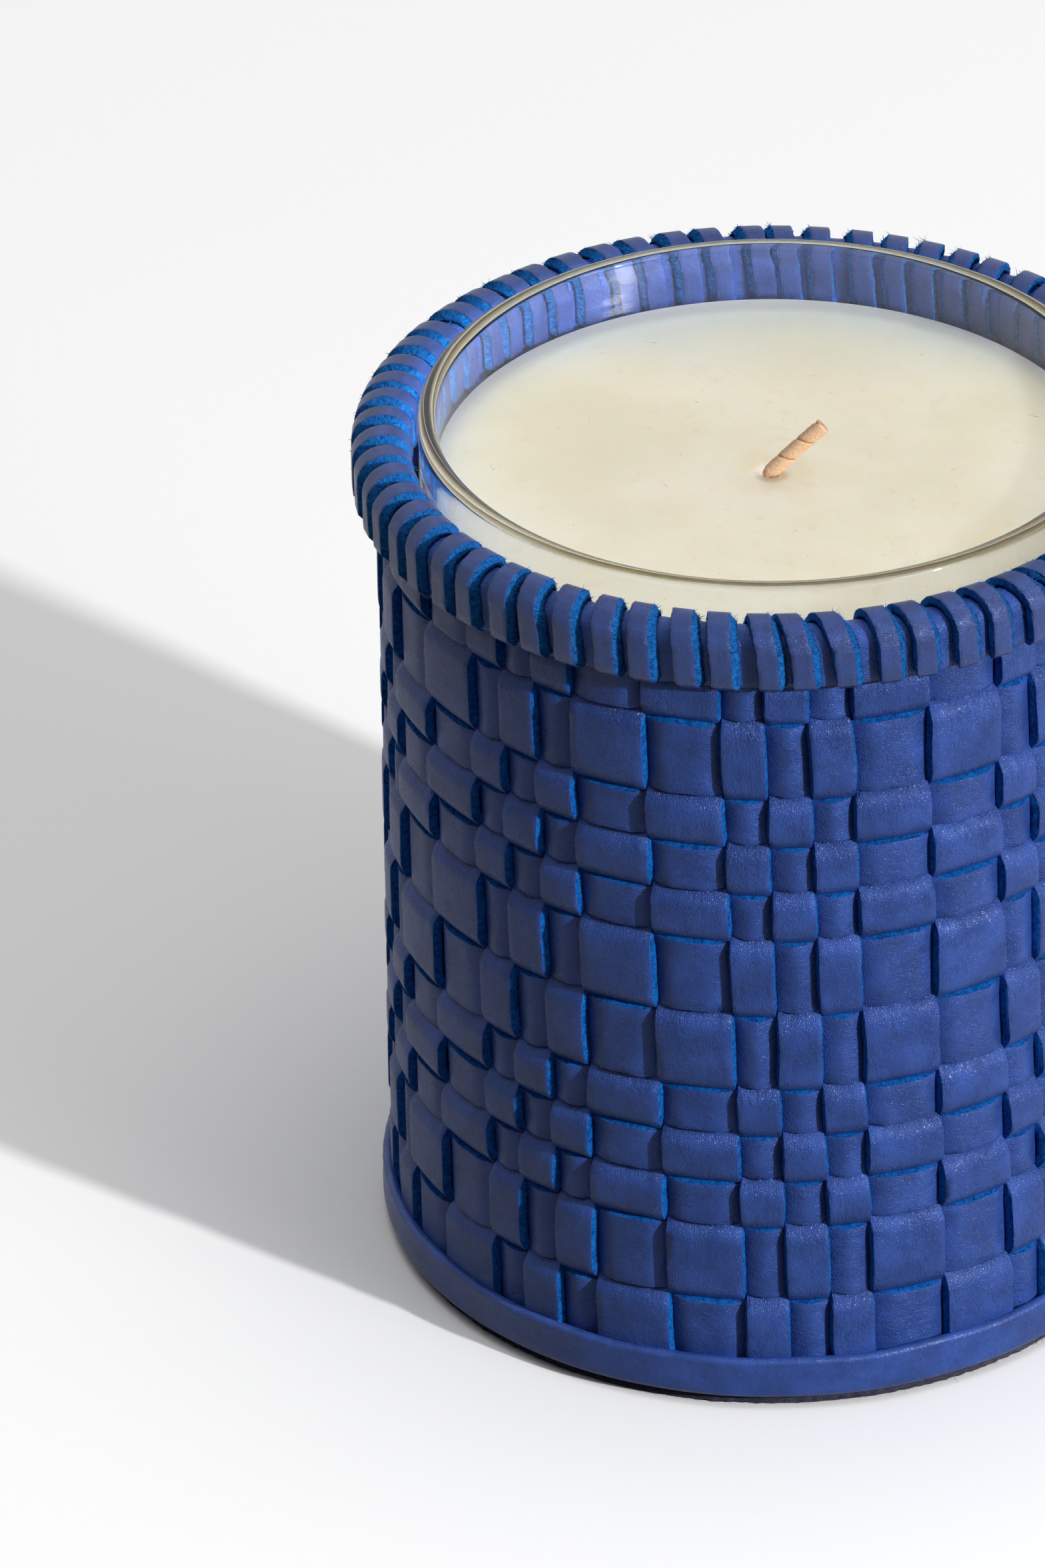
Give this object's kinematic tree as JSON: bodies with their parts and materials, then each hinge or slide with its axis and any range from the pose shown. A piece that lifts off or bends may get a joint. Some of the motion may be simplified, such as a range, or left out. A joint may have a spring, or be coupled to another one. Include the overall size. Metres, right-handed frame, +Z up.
{
  "type": "container candle in a woven leather holder",
  "caption": "Glass container candle standing in a cylindrical woven leather holder with a laced rim; the glass lifts out.",
  "frame": {"origin": "centre of the felt pad's underside, on the table", "axes": "+Z up along the axis of the holder and the glass; the front faces -Y"},
  "size_m": [0.1048, 0.1048, 0.1171],
  "materials": {
    "hide_leather": "smooth grain, raw cut edges in brighter blue",
    "weaver_leather": "smooth grain, raw cut edges in brighter blue",
    "binding_leather": "smooth grain",
    "lace_leather": "flat lace with fuzzy raw edges",
    "lining_leather": "matt",
    "board": "pressed fibre board",
    "felt": "felt",
    "glass": "clear, fire-polished rim",
    "wax": "cast candle wax, soft satin",
    "wick": "paper-cored cotton wick",
    "tin": "tinplate",
    "sticker": "foam sticker"
  },
  "bodies": {
    "holder": {"base_felt": "felt", "base_cover": "binding_leather", "base_board": "board", "seat_pad": "felt", "wall_lining": "lining_leather", "slit_hide": "hide_leather", "weaver_01": "weaver_leather", "weaver_02": "weaver_leather", "weaver_03": "weaver_leather", "weaver_04": "weaver_leather", "weaver_05": "weaver_leather", "weaver_06": "weaver_leather", "weaver_07": "weaver_leather", "weaver_08": "weaver_leather", "weaver_09": "weaver_leather", "weaver_10": "weaver_leather", "weaver_11": "weaver_leather", "weaver_12": "weaver_leather", "rim_core": "board", "rim_binding": "binding_leather", "rim_lace": "lace_leather"},
    "candle": {"glass_cup": "glass", "wax_fill": "wax", "wick": "wick", "wick_tab": "tin", "wick_sticker": "sticker"}
  },
  "joints": [
    {"name": "candle_lift", "type": "slide", "parent": "holder", "child": "candle", "axis": [0, 0, 1], "range_m": [0, 0.12]}
  ]
}
